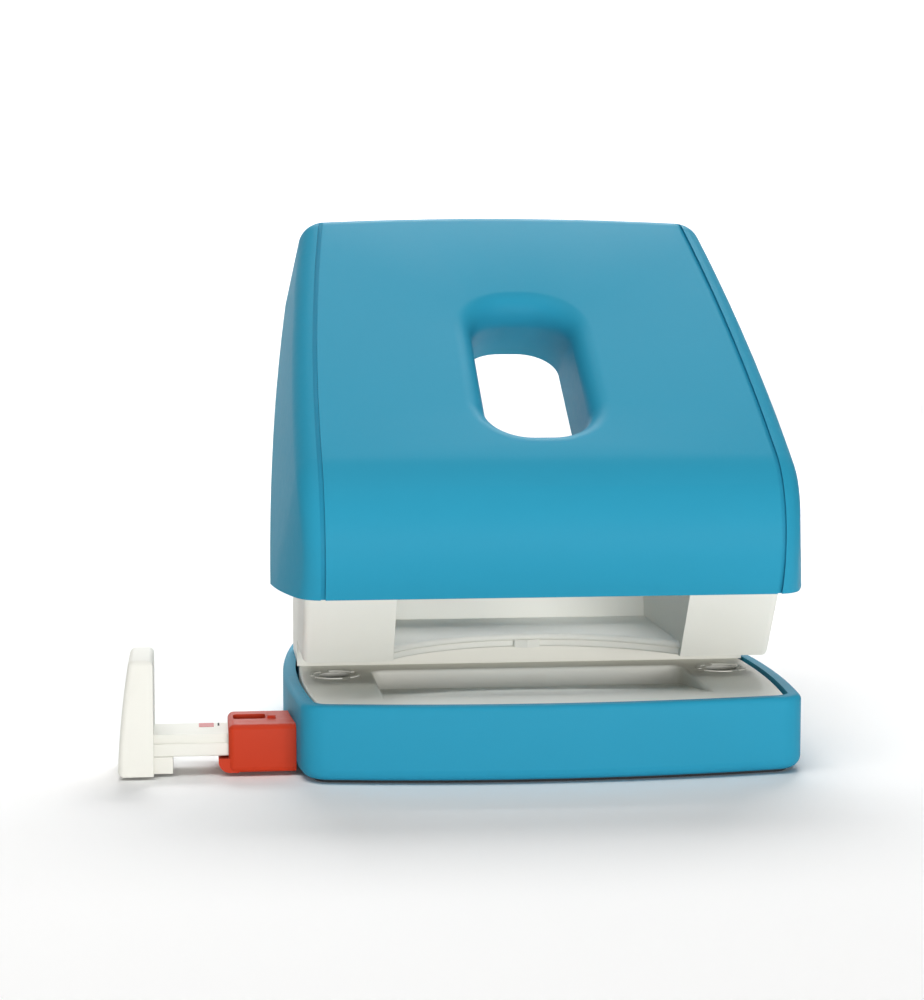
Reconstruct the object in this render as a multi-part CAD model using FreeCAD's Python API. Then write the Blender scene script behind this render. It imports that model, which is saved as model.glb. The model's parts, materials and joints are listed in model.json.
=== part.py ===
"""Two-hole desk punch with a sliding paper guide.

Row frame: millimetres, origin on the table midway between the two punched holes,
+X along the hole spacing, -Y towards the side where the paper goes in, +Z up.
The handle's own pieces are drawn level, with the pivot at the origin, and then
turned up to the handle's rest angle.
"""
import FreeCAD
import Part
import math
import os
from FreeCAD import Vector

# ---- driving dimensions -------------------------------------------------------------
HOLE_SPACING = 80.0          # standard two-hole filing
PAPER_MARGIN = 12.0          # from the hole axes back to the paper stop
PIN_RADIUS = 2.75
SLOT_HEIGHT = 4.4            # paper slot
RUNNING = 0.05               # radial clearance of a running fit

# base
DECK_TOP = 14.7
RIM_ABOVE_DECK = 0.3
BASE_FRONT = 41.4            # front edge, ahead of the hole axes
BASE_REAR = 66.0             # rear edge, behind the hole axes
BASE_SIDE_RADIUS = 290.0
BASE_SIDE_MARGIN = 3.2       # rim outside the towers
FRONT_RADIUS = 249.0
REAR_RADIUS = 225.0
FRONT_CORNER = 6.0
REAR_CORNER = 13.0
BASE_WALL = 2.6
SHELL_BOTTOM = 0.6
DECK_THICKNESS = 2.3
DIE_THICKNESS = 2.0
DECK_GAP = 0.7
RIM_GAP = 0.3                # between the towers' feet and the rim
LEDGE_HEIGHT = 1.5
LEDGE_WIDTH = 1.6
DECK_HOLE_RADIUS = 3.2

# recess in the deck that lets a finger lift the paper
RECESS_HALF_WIDTH = 32.0
RECESS_BACK = 4.5
RECESS_FRONT = -29.0
RECESS_DEPTH = 3.9
RECESS_WALL = 1.4

# towers and their steel brackets
STEEL = 1.5
TOWER_WALL = 1.5
TOWER_LEAN = 0.684           # forward lean of the tower fronts, Y per Z
TOWER_FRONT = -11.3          # at the foot of the lean
TOWER_REAR = 32.0
TOWER_TOP_RADIUS = 9.5
BRACKET_REAR = 30.0
BRACKET_TOP_RADIUS = 8.0
GUIDE_PLATE = 2.0
GUIDE_GAP = 3.4              # between the two guide plates

# shelf between the towers
SHELF_THICKNESS = 2.9
SHELF_CENTRE = 4.0           # front edge of the shelf at mid width
SHELF_END = -11.0            # front edge of the shelf at the towers
REAR_WALL_TOP = 42.0

# pivot, handle and lever
PIVOT_Y = -16.0
PIVOT_Z = 44.5
AXLE_RADIUS = 2.5
REST_ANGLE = 32.5
NOSE_RADIUS = 19.7
HANDLE_DEPTH = 19.2
HANDLE_LENGTH = 91.3         # pivot to the rear end, along the top
HANDLE_REAR_LEAN = 1.4
HANDLE_WALL = 1.8
HANDLE_TOP_WALL = 2.2
HANDLE_REAR_CROWN = 2.3      # how far the rear end bows back at mid width
HANDLE_SIDE_RADIUS = 862.0
HANDLE_WIDEST = 0.5          # where the sides start to draw in towards the nose
HANDLE_DRAW_RADIUS = 52.0
HANDLE_SKIRT_S = 0.0         # lowest point of the cheeks, along the handle
HANDLE_SKIRT_LEVEL = -11.5
HANDLE_RIM_MARGIN = 6.1      # cheeks outside the towers
HANDLE_FLARE = 5.0           # rim half width over top half width
HANDLE_EDGE = 5.0
HANDLE_CORNER = 6.0
SEAM_INSET = 2.9             # groove inside the towers' outer faces
SEAM_WIDTH = 0.9
SEAM_DEPTH = 0.8
WINDOW_START = 6.6           # finger hole on the top face, along the handle
WINDOW_LENGTH = 43.3
WINDOW_HALF_WIDTH = 10.4
WINDOW_CORNER = 8.5
WINDOW_DRIFT = 12.9          # how far the hole leans back through the handle
WINDOW_LEAD_IN = 4.5
SLEEVE_WALL = 2.0
LEVER_STEEL = 2.0
ARM_STEEL = 2.5
PRESSER_REACH = 16.2
PRESSER_ANGLE = 15.0         # above level at rest, as far below when pressed
PRESSER_RADIUS = 2.5
PRESSER_GAP = 0.05

# punch pins and springs
PIN_TIP_INSET = 0.1          # tip above the slot's ceiling
SPRING_WIRE = 0.9
SPRING_GAP = 0.1
SPRING_TURNS = 5.5
CLIP_THICKNESS = 0.8
CLIP_BELOW_TOP = 1.75

# chip tray
TRAY_FLANGE_INSET = 2.6
TRAY_FLOOR = 1.8
TRAY_WALL_INSET = 1.4        # gap between the shell's wall and the tray's
TRAY_WALL = 1.4
TRAY_TOP = 8.0
TRAY_HINGE_Y = 57.0
TRAY_HINGE_Z = 3.0
TRAY_PIN_RADIUS = 1.0
TRAY_LUG_RADIUS = 2.4
TRAY_LUG_X = 15.0
TRAY_LUG_WIDTH = 3.0
TRAY_EAR_GAP = 0.3

# paper guide
BAR_FRONT = -26.3
BAR_WIDTH = 12.6
BAR_BOTTOM = 3.8
BAR_HEIGHT = 4.2
BAR_STEP = 0.6
BAR_END = 35.0
BAR_GAP = 0.15
STOP_FACE = -76.1
STOP_DEPTH = 18.0
STOP_BOTTOM = 0.6
STOP_TOP = 22.9
STOP_THICK_BOTTOM = 6.8
STOP_THICK_TOP = 4.5
STOP_FOOT = 3.6
HOLDER_WALL = 1.6
HOLDER_REACH = 11.6            # how far the holder stands out of the base's side
HOLDER_LIP = 1.9
HOLDER_BOTTOM = 0.7
HOLDER_TOP = 10.0
CHANNEL_WALL = 1.1

# ---- positions that follow ----------------------------------------------------------
PIN_X = HOLE_SPACING / 2
SLOT_TOP = DECK_TOP + SLOT_HEIGHT
RIM_TOP = DECK_TOP + RIM_ABOVE_DECK
DECK_BOTTOM = DECK_TOP - DECK_THICKNESS
DIE_BOTTOM = DECK_BOTTOM - DIE_THICKNESS
SPRING_OUTER = PIN_RADIUS + SPRING_GAP + SPRING_WIRE
ARM_OUT = PIN_X - SPRING_OUTER - 0.55
ARM_IN = ARM_OUT - ARM_STEEL
PLATE_IN_1 = ARM_IN - 1.1
PLATE_IN_0 = PLATE_IN_1 - STEEL
PLATE_OUT_0 = PIN_X + SPRING_OUTER + 0.25
PLATE_OUT_1 = PLATE_OUT_0 + STEEL
TOWER_GAP = 0.1
TOWER_IN = PLATE_IN_0 - TOWER_GAP - TOWER_WALL
TOWER_OUT = PLATE_OUT_1 + TOWER_GAP + TOWER_WALL
BASE_HALF_WIDTH = TOWER_OUT + BASE_SIDE_MARGIN
HOLDER_LEFT = -BASE_HALF_WIDTH - HOLDER_REACH
GUIDE_BOTTOM = SLOT_TOP + TOWER_WALL + TOWER_GAP
GUIDE_TOP = GUIDE_BOTTOM + 2 * GUIDE_PLATE + GUIDE_GAP
PRESSER_Y = PIVOT_Y + PRESSER_REACH * math.cos(math.radians(PRESSER_ANGLE))
PRESSER_Z = PIVOT_Z + PRESSER_REACH * math.sin(math.radians(PRESSER_ANGLE))
PIN_TOP = PRESSER_Z - PRESSER_RADIUS - PRESSER_GAP
PIN_TIP = SLOT_TOP + PIN_TIP_INSET
CLIP_BOTTOM = PIN_TOP - CLIP_BELOW_TOP - CLIP_THICKNESS
RIM_LEVEL = NOSE_RADIUS - HANDLE_DEPTH
RIM_HALF = TOWER_OUT + HANDLE_RIM_MARGIN
SEAM_HALF = TOWER_OUT - SEAM_INSET
BAR_BACK = BAR_FRONT + BAR_WIDTH
BAR_TOP = BAR_BOTTOM + BAR_HEIGHT
STOP_WALL_BACK = PAPER_MARGIN + TOWER_WALL
TRAY_REAR = TRAY_HINGE_Y - TRAY_LUG_RADIUS - 0.4

AXIS_X = Vector(1, 0, 0)
AXIS_Z = Vector(0, 0, 1)
ORIGIN = Vector(0, 0, 0)


# ---- helpers ------------------------------------------------------------------------
def box(x0, x1, y0, y1, z0, z1):
    return Part.makeBox(x1 - x0, y1 - y0, z1 - z0, Vector(x0, y0, z0))


def rod_x(y, z, radius, x0, x1):
    return Part.makeCylinder(radius, x1 - x0, Vector(x0, y, z), AXIS_X)


def rod_z(x, y, radius, z0, z1):
    return Part.makeCylinder(radius, z1 - z0, Vector(x, y, z0), AXIS_Z)


def side_prism(points, x0, x1):
    """Solid with the (Y, Z) outline points between x0 and x1."""
    corners = [Vector(x0, y, z) for y, z in points]
    face = Part.Face(Part.makePolygon(corners + corners[:1]))
    return face.extrude(Vector(x1 - x0, 0, 0))


def fuse(*shapes):
    return shapes[0].multiFuse(list(shapes[1:])).removeSplitter()


def mirrored(shape):
    return shape.mirror(ORIGIN, AXIS_X)


def round_edges(shape, radius, chosen):
    """Rounds the edges for which chosen(edge, box of the edge) is true."""
    edges = [e for e in shape.Edges if chosen(e, e.BoundBox)]
    return shape.makeFillet(radius, edges)


def flat_at(level, axis="Z"):
    """Chooser for edges that lie whole in the plane axis = level."""
    low, high = axis + "Min", axis + "Max"
    return lambda e, b: abs(getattr(b, low) - level) < 0.01 and abs(getattr(b, high) - level) < 0.01


def upright(e, b):
    return b.ZLength > 0.5 and b.XLength < 0.01 and b.YLength < 0.01


def save(name, shape):
    if not shape.isValid():
        raise ValueError(name + " is not a valid solid")
    shape.exportStep("parts/" + name + ".step")
    print(name, len(shape.Solids), "solid(s)", round(shape.Volume), "mm3")


# ---- base outline -------------------------------------------------------------------
def plan_prism(inset, z0, z1):
    """Prism on the base's plan, drawn in by inset: what four large discs share, with round corners."""
    discs = [
        (BASE_SIDE_RADIUS, BASE_HALF_WIDTH - BASE_SIDE_RADIUS, 0),
        (BASE_SIDE_RADIUS, BASE_SIDE_RADIUS - BASE_HALF_WIDTH, 0),
        (FRONT_RADIUS, 0, FRONT_RADIUS - BASE_FRONT),
        (REAR_RADIUS, 0, BASE_REAR - REAR_RADIUS),
    ]
    prisms = [rod_z(x, y, radius - inset, z0, z1) for radius, x, y in discs]
    block = prisms[0]
    for other in prisms[1:]:
        block = block.common(other)
    block = round_edges(block, FRONT_CORNER - inset, lambda e, b: upright(e, b) and b.YMax < 0)
    return round_edges(block, REAR_CORNER - inset, lambda e, b: upright(e, b) and b.YMin > 0)


# ---- base pieces --------------------------------------------------------------------
def holder_window(gap, reach):
    """Space of the guide holder's tenon through the shell's left wall."""
    margin = HOLDER_WALL / 2 + gap
    return box(-BASE_HALF_WIDTH - 1, -BASE_HALF_WIDTH + BASE_WALL + reach,
               BAR_FRONT - margin, BAR_BACK + margin,
               BAR_BOTTOM - margin, BAR_TOP + margin)


def tray_lugs():
    lugs = []
    for side in (-1, 1):
        x0 = side * (TRAY_LUG_X + TRAY_LUG_WIDTH / 2) - TRAY_LUG_WIDTH / 2
        x1 = x0 + TRAY_LUG_WIDTH
        wall = BASE_REAR - BASE_WALL / 2
        lug = box(x0, x1, TRAY_HINGE_Y, wall, TRAY_HINGE_Z - TRAY_LUG_RADIUS / 2,
                  TRAY_HINGE_Z + TRAY_LUG_RADIUS)
        lug = lug.fuse(rod_x(TRAY_HINGE_Y, TRAY_HINGE_Z, TRAY_LUG_RADIUS, x0, x1))
        lugs.append(lug.cut(rod_x(TRAY_HINGE_Y, TRAY_HINGE_Z, TRAY_PIN_RADIUS, x0, x1)))
    return lugs


def base_shell():
    outer = plan_prism(0, SHELL_BOTTOM, RIM_TOP)
    outer = round_edges(outer, 0.95 * BASE_WALL, flat_at(SHELL_BOTTOM))
    outer = round_edges(outer, 1.1, flat_at(RIM_TOP))
    ledge_top = DIE_BOTTOM
    hollow = plan_prism(BASE_WALL, ledge_top, RIM_TOP + 1)
    throat = plan_prism(BASE_WALL + LEDGE_WIDTH, ledge_top - LEDGE_HEIGHT - 1, ledge_top + 1)
    below = plan_prism(BASE_WALL, SHELL_BOTTOM - 1, ledge_top - LEDGE_HEIGHT)
    shell = outer.cut(hollow).cut(throat).cut(below)
    strip_front = TRAY_HINGE_Y + TRAY_LUG_RADIUS + 1.0
    strip = plan_prism(TRAY_FLANGE_INSET, 0.1, TRAY_FLOOR + 0.6)
    strip = strip.common(box(-BASE_HALF_WIDTH, BASE_HALF_WIDTH, strip_front, BASE_REAR, 0, RIM_TOP))
    shell = fuse(shell, strip, *tray_lugs())
    shell = shell.cut(holder_window(RUNNING, 4.0))
    return shell


def ring_marks(x):
    """Two raised arcs round a hole, open to the front and the back."""
    ring = rod_z(x, 0, 5.1, DECK_TOP - 0.2, DECK_TOP + 0.2)
    ring = ring.cut(rod_z(x, 0, 4.3, DECK_TOP - 1, DECK_TOP + 1))
    for turn in (25, 115):
        gap = box(-0.9, 0.9, -6, 6, DECK_TOP - 1, DECK_TOP + 1)
        gap.rotate(ORIGIN, AXIS_Z, turn)
        gap.translate(Vector(x, 0, 0))
        ring = ring.cut(gap)
    return ring


def deck():
    plate = plan_prism(BASE_WALL + DECK_GAP, DECK_BOTTOM, DECK_TOP)
    plate = round_edges(plate, 0.5, flat_at(DECK_TOP))
    floor = DECK_TOP - RECESS_DEPTH
    under = RECESS_WALL
    half = RECESS_HALF_WIDTH + RECESS_WALL
    back = RECESS_BACK + RECESS_WALL
    pan = side_prism([(back, DECK_TOP), (back, floor - under), (RECESS_BACK - 1, floor - under),
                      (RECESS_FRONT, DECK_TOP - under), (RECESS_FRONT, DECK_TOP)], -half, half)
    recess = side_prism([(RECESS_BACK, DECK_TOP + 1), (RECESS_BACK, floor),
                         (RECESS_FRONT, DECK_TOP), (RECESS_FRONT, DECK_TOP + 1)],
                        -RECESS_HALF_WIDTH, RECESS_HALF_WIDTH)
    recess = round_edges(recess, 2.5, lambda e, b: upright(e, b) and b.YMin > 0)
    plate = fuse(plate, pan).cut(recess)
    edge = flat_at(DECK_TOP)
    plate = round_edges(plate, 0.7, lambda e, b: edge(e, b) and abs(b.XMin) < half
                        and abs(b.XMax) < half and RECESS_FRONT + 0.5 < b.YMax < RECESS_BACK + 0.1)
    for x in (-PIN_X, PIN_X):
        plate = plate.fuse(ring_marks(x)).cut(rod_z(x, 0, DECK_HOLE_RADIUS, 0, SLOT_TOP))
    foot_room = box(PLATE_IN_0 - TOWER_GAP, BASE_HALF_WIDTH, STOP_WALL_BACK,
                    BRACKET_REAR + TOWER_GAP, 0, SLOT_TOP)
    return plate.cut(foot_room).cut(mirrored(foot_room))


def bracket_screw_places():
    middle = (PLATE_IN_0 + PLATE_OUT_1) / 2
    ys = (STOP_WALL_BACK + 4.5, BRACKET_REAR - 4.0)
    return [(x, y) for x in (-middle, middle) for y in ys]


def die_plate():
    plate = plan_prism(BASE_WALL + DECK_GAP, DIE_BOTTOM, DECK_BOTTOM)
    notch = RECESS_HALF_WIDTH + RECESS_WALL + 0.5
    plate = plate.cut(box(-notch, notch, -BASE_FRONT, RECESS_BACK + RECESS_WALL + 0.5, 0, SLOT_TOP))
    for x in (-PIN_X, PIN_X):
        plate = plate.cut(rod_z(x, 0, PIN_RADIUS + RUNNING, 0, SLOT_TOP))
    for x, y in bracket_screw_places():
        plate = plate.cut(rod_z(x, y, 1.6, 0, SLOT_TOP))
    return plate


def tower_profile(inset, floor, rear):
    """(Y, Z) outline of a tower, without its round top."""
    along = math.hypot(1, TOWER_LEAN)
    shift = inset * along
    reach = TOWER_TOP_RADIUS - inset

    def front(z):
        return TOWER_FRONT + shift - TOWER_LEAN * (z - SLOT_TOP)

    shoulder = PIVOT_Z + reach
    return [(front(floor), floor), (front(PIVOT_Z), PIVOT_Z), (PIVOT_Y, shoulder),
            (rear, REAR_WALL_TOP - 1.0)]


def right_tower():
    outer_points = tower_profile(0, SLOT_TOP, TOWER_REAR) + [
        (TOWER_REAR, DECK_TOP), (PAPER_MARGIN, DECK_TOP), (PAPER_MARGIN, SLOT_TOP)]
    tower = side_prism(outer_points, TOWER_IN, TOWER_OUT)
    keep = fuse(rod_x(PIVOT_Y, PIVOT_Z, TOWER_TOP_RADIUS, TOWER_IN, TOWER_OUT),
                box(TOWER_IN, TOWER_OUT, -BASE_FRONT, TOWER_REAR, 0, PIVOT_Z),
                box(TOWER_IN, TOWER_OUT, PIVOT_Y, TOWER_REAR, 0, PIVOT_Z + TOWER_TOP_RADIUS))
    tower = tower.common(keep).removeSplitter()
    tower = round_edges(tower, 1.4, lambda e, b: b.XLength < 0.01 and abs(b.XMin - TOWER_OUT) < 0.01
                        and b.YMax < PAPER_MARGIN + 0.01 and b.YMax - b.YMin > 5)
    inner = TOWER_WALL
    floor = SLOT_TOP + inner
    hollow_points = tower_profile(inner, floor, TOWER_REAR - inner)
    hollow_points[2] = (PIVOT_Y - 6, PIVOT_Z + 2 * TOWER_TOP_RADIUS)
    hollow_points[3] = (TOWER_REAR - inner, PIVOT_Z + 2 * TOWER_TOP_RADIUS)
    hollow_points += [(TOWER_REAR - inner, DECK_TOP - 1), (STOP_WALL_BACK, DECK_TOP - 1),
                      (STOP_WALL_BACK, floor)]
    tower = tower.cut(side_prism(hollow_points, TOWER_IN + inner, TOWER_OUT - inner))
    tower = tower.cut(rod_z(PIN_X, 0, PIN_RADIUS + 0.3, 0, floor + 1))
    over_rim = box(TOWER_IN - 1, TOWER_OUT + 1, 0, TOWER_REAR + 1, 0, RIM_TOP + RIM_GAP)
    tower = tower.cut(over_rim.cut(plan_prism(BASE_WALL + RIM_GAP, 0, RIM_TOP + 1)))
    return tower.cut(rod_x(PIVOT_Y, PIVOT_Z, AXLE_RADIUS + 0.1, TOWER_IN - 1, TOWER_IN + 2 * inner))


def bridge_shelf():
    """Shelf, paper stop and rear wall that join the two towers."""
    top = SLOT_TOP + SHELF_THICKNESS
    half = TOWER_IN
    rear = TOWER_REAR
    wall = TOWER_WALL

    def arc_plate(set_back, z0, z1):
        y_end, y_mid = SHELF_END + set_back, SHELF_CENTRE + set_back
        bow = Part.Arc(Vector(-half, y_end, z0), Vector(0, y_mid, z0), Vector(half, y_end, z0)).toShape()
        straight = Part.makePolygon([Vector(half, y_end, z0), Vector(half, rear, z0),
                                     Vector(-half, rear, z0), Vector(-half, y_end, z0)])
        return Part.Face(Part.Wire([bow] + straight.Edges)).extrude(Vector(0, 0, z1 - z0))

    lower_top = SLOT_TOP + SHELF_THICKNESS * 0.48
    upper = arc_plate(0, lower_top, top)
    upper = round_edges(upper, 0.65, lambda e, b: e.Curve.TypeId == "Part::GeomCircle")
    lower = arc_plate(0.9, SLOT_TOP, lower_top + 0.3)   # reaches into the upper plate, to join it
    lower = round_edges(lower, 0.5, lambda e, b: e.Curve.TypeId == "Part::GeomCircle"
                        and abs(b.ZMax - SLOT_TOP) < 0.01)
    body = box(-half, half, PAPER_MARGIN, rear, DECK_TOP, SLOT_TOP)
    back = side_prism([(rear - wall - 4, SLOT_TOP), (rear - wall, REAR_WALL_TOP),
                       (rear, REAR_WALL_TOP), (rear, SLOT_TOP)], -half, half)
    body = fuse(upper, lower, body, back)
    body = body.cut(box(-half + wall, half - wall, PAPER_MARGIN + wall, rear - wall,
                        DECK_TOP - 1, SLOT_TOP))
    tip = SHELF_CENTRE - 0.9
    mark = Part.Face(Part.makePolygon([Vector(-2.6, SHELF_CENTRE + 3, SLOT_TOP),
                                       Vector(-2.6, tip + 0.8, SLOT_TOP),
                                       Vector(0, tip, SLOT_TOP), Vector(2.6, tip + 0.8, SLOT_TOP),
                                       Vector(2.6, SHELF_CENTRE + 3, SLOT_TOP),
                                       Vector(-2.6, SHELF_CENTRE + 3, SLOT_TOP)]))
    return fuse(body, mark.extrude(Vector(0, 0, SHELF_THICKNESS * 0.55)))


def right_bracket():
    foot_top = DECK_BOTTOM + STEEL
    front = TOWER_FRONT + 2.6 * TOWER_WALL
    cheek = [(front, GUIDE_BOTTOM), (PIVOT_Y - BRACKET_TOP_RADIUS * 0.93, PIVOT_Z - 2),
             (PIVOT_Y + BRACKET_TOP_RADIUS * 0.4, PIVOT_Z + BRACKET_TOP_RADIUS * 0.9),
             (BRACKET_REAR - 8, 36.0), (BRACKET_REAR, 30.0), (BRACKET_REAR, DECK_BOTTOM),
             (STOP_WALL_BACK, DECK_BOTTOM), (STOP_WALL_BACK, GUIDE_BOTTOM)]
    pieces = []
    for x0, x1 in ((PLATE_IN_0, PLATE_IN_1), (PLATE_OUT_0, PLATE_OUT_1)):
        plate = side_prism(cheek, x0, x1).fuse(rod_x(PIVOT_Y, PIVOT_Z, BRACKET_TOP_RADIUS, x0, x1))
        pieces.append(plate.cut(rod_x(PIVOT_Y, PIVOT_Z, AXLE_RADIUS, x0, x1)))
    for z0 in (GUIDE_BOTTOM, GUIDE_TOP - GUIDE_PLATE):
        guide = box(PLATE_IN_0, PLATE_OUT_1, front + 1, STOP_WALL_BACK - 2, z0, z0 + GUIDE_PLATE)
        pieces.append(guide)
    pieces.append(box(PLATE_IN_0, PLATE_OUT_1, STOP_WALL_BACK, BRACKET_REAR, DECK_BOTTOM, foot_top))
    bracket = fuse(*pieces)
    bracket = bracket.cut(rod_z(PIN_X, 0, PIN_RADIUS + RUNNING, 0, GUIDE_TOP + 1))
    for x, y in bracket_screw_places():
        bracket = bracket.cut(rod_z(x, y, 1.5, 0, foot_top + 1))
    return bracket


def bracket_screws():
    screws = []
    for x, y in bracket_screw_places():
        head = rod_z(x, y, 2.6, DIE_BOTTOM - 1.2, DIE_BOTTOM)
        head = head.cut(box(x - 2, x + 2, y - 0.35, y + 0.35, 0, DIE_BOTTOM - 0.6))
        head = head.cut(box(x - 0.35, x + 0.35, y - 2, y + 2, 0, DIE_BOTTOM - 0.6))
        screws.append(head.fuse(rod_z(x, y, 1.5, DIE_BOTTOM, DECK_BOTTOM + STEEL + 0.9)).removeSplitter())
    return Part.makeCompound(screws)


def pivot_axle():
    axle = rod_x(PIVOT_Y, PIVOT_Z, AXLE_RADIUS, -PLATE_OUT_1, PLATE_OUT_1)
    for x0 in (-TOWER_IN + 0.5, TOWER_IN - 0.5 - CLIP_THICKNESS):
        groove = rod_x(PIVOT_Y, PIVOT_Z, AXLE_RADIUS + 1, x0, x0 + CLIP_THICKNESS)
        groove = groove.cut(rod_x(PIVOT_Y, PIVOT_Z, AXLE_RADIUS - 0.5, x0, x0 + CLIP_THICKNESS))
        axle = axle.cut(groove)
    return axle


def snap_ring(inner, outer, thickness):
    """Flat retaining ring about Z from Z = 0, open towards -Y."""
    ring = Part.makeCylinder(outer, thickness).cut(Part.makeCylinder(inner, thickness))
    mouth = inner * 0.8
    return ring.cut(box(-mouth, mouth, -outer - 1, 0, -1, thickness + 1))


def axle_clips():
    clips = []
    for x0 in (-TOWER_IN + 0.5, TOWER_IN - 0.5 - CLIP_THICKNESS):
        clip = snap_ring(AXLE_RADIUS - 0.5, AXLE_RADIUS + 1.9, CLIP_THICKNESS)
        clip.rotate(ORIGIN, Vector(0, 1, 0), 90)
        clip.translate(Vector(x0, PIVOT_Y, PIVOT_Z))
        clips.append(clip)
    return Part.makeCompound(clips)


# ---- punch pins ---------------------------------------------------------------------
def right_pin():
    pin = rod_z(PIN_X, 0, PIN_RADIUS, PIN_TIP, PIN_TOP)
    pin = round_edges(pin, 0.5, flat_at(PIN_TOP))
    hollow_radius = 2.6 * PIN_RADIUS
    dip = PIN_RADIUS * 0.36
    pin = pin.cut(rod_x(0, PIN_TIP + dip - hollow_radius, hollow_radius, PIN_X - 10, PIN_X + 10))
    groove = rod_z(PIN_X, 0, PIN_RADIUS + 1, CLIP_BOTTOM, CLIP_BOTTOM + CLIP_THICKNESS)
    groove = groove.cut(rod_z(PIN_X, 0, PIN_RADIUS - 0.5, CLIP_BOTTOM, CLIP_BOTTOM + CLIP_THICKNESS))
    return pin.cut(groove)


def right_pin_clip():
    clip = snap_ring(PIN_RADIUS - 0.5, SPRING_OUTER - 0.1, CLIP_THICKNESS)
    clip.translate(Vector(PIN_X, 0, CLIP_BOTTOM))
    return clip


def right_spring():
    low = GUIDE_TOP + SPRING_WIRE / 2
    high = CLIP_BOTTOM - SPRING_WIRE / 2
    radius = SPRING_OUTER - SPRING_WIRE / 2
    helix = Part.makeHelix((high - low) / SPRING_TURNS, high - low, radius)
    section = Part.Wire(Part.makeCircle(SPRING_WIRE / 2, Vector(radius, 0, 0), Vector(0, 1, 0)))
    coil = Part.Wire(helix).makePipeShell([section], True, True)
    coil.translate(Vector(PIN_X, 0, low))
    return coil


# ---- chip tray ----------------------------------------------------------------------
def chip_tray():
    rear = TRAY_REAR
    ahead = box(-2 * BASE_HALF_WIDTH, 2 * BASE_HALF_WIDTH, -2 * BASE_FRONT, rear, -1, RIM_TOP)
    flange = plan_prism(TRAY_FLANGE_INSET, 0, SHELL_BOTTOM)
    flange = round_edges(flange, 0.5, flat_at(0))
    outer_inset = BASE_WALL + TRAY_WALL_INSET
    block = plan_prism(outer_inset, 0, TRAY_TOP)
    hollow = plan_prism(outer_inset + TRAY_WALL, TRAY_FLOOR, TRAY_TOP + 1)
    hollow = hollow.common(box(-2 * BASE_HALF_WIDTH, 2 * BASE_HALF_WIDTH, -2 * BASE_FRONT,
                               rear - TRAY_WALL, 0, RIM_TOP))
    tray = fuse(flange, block).common(ahead).cut(hollow)
    notch_gap = HOLDER_WALL + 1.2
    tray = tray.cut(box(-BASE_HALF_WIDTH, -PIN_X - PIN_RADIUS, BAR_FRONT - notch_gap,
                        BAR_BACK + notch_gap, TRAY_FLOOR, RIM_TOP))
    ears = []
    for side in (-1, 1):
        near = TRAY_LUG_X + TRAY_LUG_WIDTH + TRAY_EAR_GAP
        x0, x1 = sorted((side * near, side * (near + TRAY_LUG_WIDTH)))
        ear = box(x0, x1, rear - TRAY_WALL, TRAY_HINGE_Y, TRAY_HINGE_Z - TRAY_LUG_RADIUS,
                  TRAY_HINGE_Z + TRAY_LUG_RADIUS)
        ear = ear.fuse(rod_x(TRAY_HINGE_Y, TRAY_HINGE_Z, TRAY_LUG_RADIUS, x0, x1))
        ears.append(ear)
    tray = fuse(tray, *ears)
    reach = TRAY_LUG_X + 3 * TRAY_LUG_WIDTH
    return tray.cut(rod_x(TRAY_HINGE_Y, TRAY_HINGE_Z, TRAY_PIN_RADIUS + RUNNING, -reach, reach))


def tray_hinge_pins():
    pins = []
    for side in (-1, 1):
        far = TRAY_LUG_X + 2 * TRAY_LUG_WIDTH + TRAY_EAR_GAP
        x0, x1 = sorted((side * TRAY_LUG_X, side * far))
        pins.append(rod_x(TRAY_HINGE_Y, TRAY_HINGE_Z, TRAY_PIN_RADIUS, x0, x1))
    return Part.makeCompound(pins)


# ---- paper guide --------------------------------------------------------------------
def guide_bar():
    bar = box(STOP_FACE, BAR_END, BAR_FRONT, BAR_BACK, BAR_BOTTOM, BAR_TOP)
    bar = round_edges(bar, 0.4, lambda e, b: b.XLength > 10)
    step = box(STOP_FACE - 1, BAR_END + 1, BAR_FRONT - 1, BAR_FRONT + BAR_STEP,
               BAR_BOTTOM + BAR_HEIGHT * 0.6, BAR_TOP + 1)
    return bar.cut(step).cut(label_block(0.4))


def label_block(sink):
    x0 = STOP_FACE + 8.6
    return box(x0, x0 + 2.9, BAR_BACK - 4.6, BAR_BACK - 0.7, BAR_TOP - sink, BAR_TOP + 0.06)


def end_stop():
    y_mid = (BAR_FRONT + BAR_BACK) / 2
    y0, y1 = y_mid - STOP_DEPTH / 2, y_mid + STOP_DEPTH / 2
    outer_bottom = STOP_FACE - STOP_THICK_BOTTOM
    outer_top = STOP_FACE - STOP_THICK_TOP
    middle = Vector((outer_bottom + outer_top) / 2 - 0.35, y0, (STOP_BOTTOM + STOP_TOP) / 2)
    bow = Part.Arc(Vector(outer_bottom, y0, STOP_BOTTOM), middle, Vector(outer_top, y0, STOP_TOP)).toShape()
    rest = Part.makePolygon([Vector(outer_top, y0, STOP_TOP), Vector(STOP_FACE, y0, STOP_TOP),
                             Vector(STOP_FACE, y0, STOP_BOTTOM), Vector(outer_bottom, y0, STOP_BOTTOM)])
    block = Part.Face(Part.Wire([bow] + rest.Edges)).extrude(Vector(0, y1 - y0, 0))
    block = round_edges(block, 1.2, lambda e, b: b.XMax < STOP_FACE - 1 or abs(b.ZMin - STOP_TOP) < 0.01)
    foot = box(STOP_FACE - 0.5, STOP_FACE + STOP_FOOT, BAR_FRONT, BAR_BACK, STOP_BOTTOM, BAR_BOTTOM)
    return fuse(block, foot)


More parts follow.
